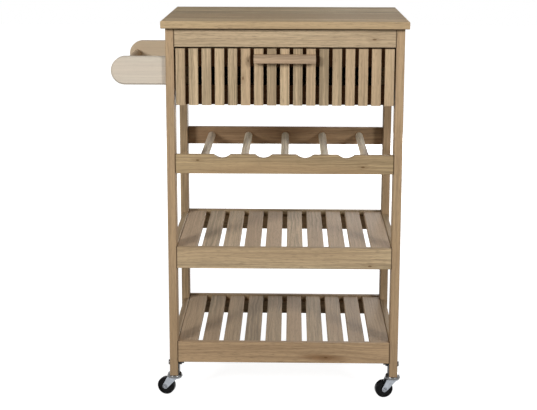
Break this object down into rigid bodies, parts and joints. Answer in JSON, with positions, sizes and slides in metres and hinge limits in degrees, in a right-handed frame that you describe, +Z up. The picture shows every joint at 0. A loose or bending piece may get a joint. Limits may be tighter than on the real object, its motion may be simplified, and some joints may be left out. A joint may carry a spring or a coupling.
{
  "type": "kitchen cart",
  "caption": "Rolling oak kitchen cart with a drawer under the worktop, a rack for lying bottles, slatted shelves, a towel holder and swivel casters.",
  "frame": {"origin": "middle of the whole outline, the towel holder and the handle included, at floor level", "axes": "+X to the right seen from the drawer's side, +Y from the front to the back, +Z up"},
  "size_m": [0.639, 0.407, 0.85],
  "materials": {
    "oak_worktop": "oiled oak, satin",
    "oak_frame": "oiled oak, satin",
    "oak_slats": "oiled oak, satin",
    "oak_handles": "oiled oak, satin",
    "drawer_oak": "oiled oak, satin",
    "drawer_board": "thin plywood, satin",
    "bright_steel": "bright plated steel",
    "zinc_steel": "blue zinc plated steel",
    "black_plastic": "black, satin"
  },
  "bodies": {
    "frame": {"bottom_shelf_back_batten": "oak_frame", "bottom_shelf_back_rail": "oak_frame", "bottom_shelf_front_batten": "oak_frame", "bottom_shelf_front_rail": "oak_frame", "bottom_shelf_left_rail": "oak_frame", "bottom_shelf_right_rail": "oak_frame", "bottom_shelf_slats": "oak_slats", "caster_mounts": "bright_steel", "drawer_left_runner": "drawer_oak", "drawer_right_runner": "drawer_oak", "leg_back_left": "oak_frame", "leg_back_right": "oak_frame", "leg_front_left": "oak_frame", "leg_front_right": "oak_frame", "middle_shelf_back_batten": "oak_frame", "middle_shelf_back_rail": "oak_frame", "middle_shelf_front_batten": "oak_frame", "middle_shelf_front_rail": "oak_frame", "middle_shelf_left_rail": "oak_frame", "middle_shelf_right_rail": "oak_frame", "middle_shelf_slats": "oak_slats", "top_front_rail": "oak_frame", "towel_arms": "oak_handles", "towel_bar": "oak_handles", "upper_back_panel": "oak_frame", "upper_left_panel": "oak_frame", "upper_right_panel": "oak_frame", "wine_back_rail": "oak_frame", "wine_dowel_1": "oak_slats", "wine_dowel_2": "oak_slats", "wine_dowel_3": "oak_slats", "wine_dowel_4": "oak_slats", "wine_dowel_5": "oak_slats", "wine_front_rail": "oak_frame", "worktop": "oak_worktop"},
    "drawer": {"drawer_back": "drawer_oak", "drawer_bottom": "drawer_board", "drawer_front_slats": "oak_slats", "drawer_handle": "oak_handles", "drawer_left_side": "drawer_oak", "drawer_lower_rail": "drawer_oak", "drawer_right_side": "drawer_oak", "drawer_stop_pegs": "drawer_oak", "drawer_upper_rail": "drawer_oak"},
    "front_left_swivel": {"caster_fork_front_left": "zinc_steel"},
    "front_left_wheel": {"caster_wheel_front_left": "black_plastic"},
    "front_right_swivel": {"caster_fork_front_right": "zinc_steel"},
    "front_right_wheel": {"caster_wheel_front_right": "black_plastic"},
    "back_left_swivel": {"caster_fork_back_left": "zinc_steel"},
    "back_left_wheel": {"caster_wheel_back_left": "black_plastic"},
    "back_right_swivel": {"caster_fork_back_right": "zinc_steel"},
    "back_right_wheel": {"caster_wheel_back_right": "black_plastic"}
  },
  "joints": [
    {"name": "drawer_slide", "type": "slide", "parent": "frame", "child": "drawer", "axis": [0, -1, 0], "range_m": [0, 0.22]},
    {"name": "front_left_swivel_turn", "type": "hinge", "parent": "frame", "child": "front_left_swivel", "pos_m": [-0.191, -0.16, 0.045], "axis": [0, 0, 1], "continuous": true},
    {"name": "front_left_wheel_roll", "type": "hinge", "parent": "front_left_swivel", "child": "front_left_wheel", "pos_m": [-0.21032, -0.15482, 0.02], "axis": [-0.2588, -0.9659, 0], "continuous": true},
    {"name": "front_right_swivel_turn", "type": "hinge", "parent": "frame", "child": "front_right_swivel", "pos_m": [0.302, -0.16, 0.045], "axis": [0, 0, 1], "continuous": true},
    {"name": "front_right_wheel_roll", "type": "hinge", "parent": "front_right_swivel", "child": "front_right_wheel", "pos_m": [0.28237, -0.16382, 0.02], "axis": [0.1908, -0.9816, 0], "continuous": true},
    {"name": "back_left_swivel_turn", "type": "hinge", "parent": "frame", "child": "back_left_swivel", "pos_m": [-0.191, 0.165, 0.045], "axis": [0, 0, 1], "continuous": true},
    {"name": "back_left_wheel_roll", "type": "hinge", "parent": "back_left_swivel", "child": "back_left_wheel", "pos_m": [-0.19914, 0.14673, 0.02], "axis": [0.9135, -0.4067, 0], "continuous": true},
    {"name": "back_right_swivel_turn", "type": "hinge", "parent": "frame", "child": "back_right_swivel", "pos_m": [0.302, 0.165, 0.045], "axis": [0, 0, 1], "continuous": true},
    {"name": "back_right_wheel_roll", "type": "hinge", "parent": "back_right_swivel", "child": "back_right_wheel", "pos_m": [0.28786, 0.17914, 0.02], "axis": [-0.7071, -0.7071, 0], "continuous": true}
  ]
}
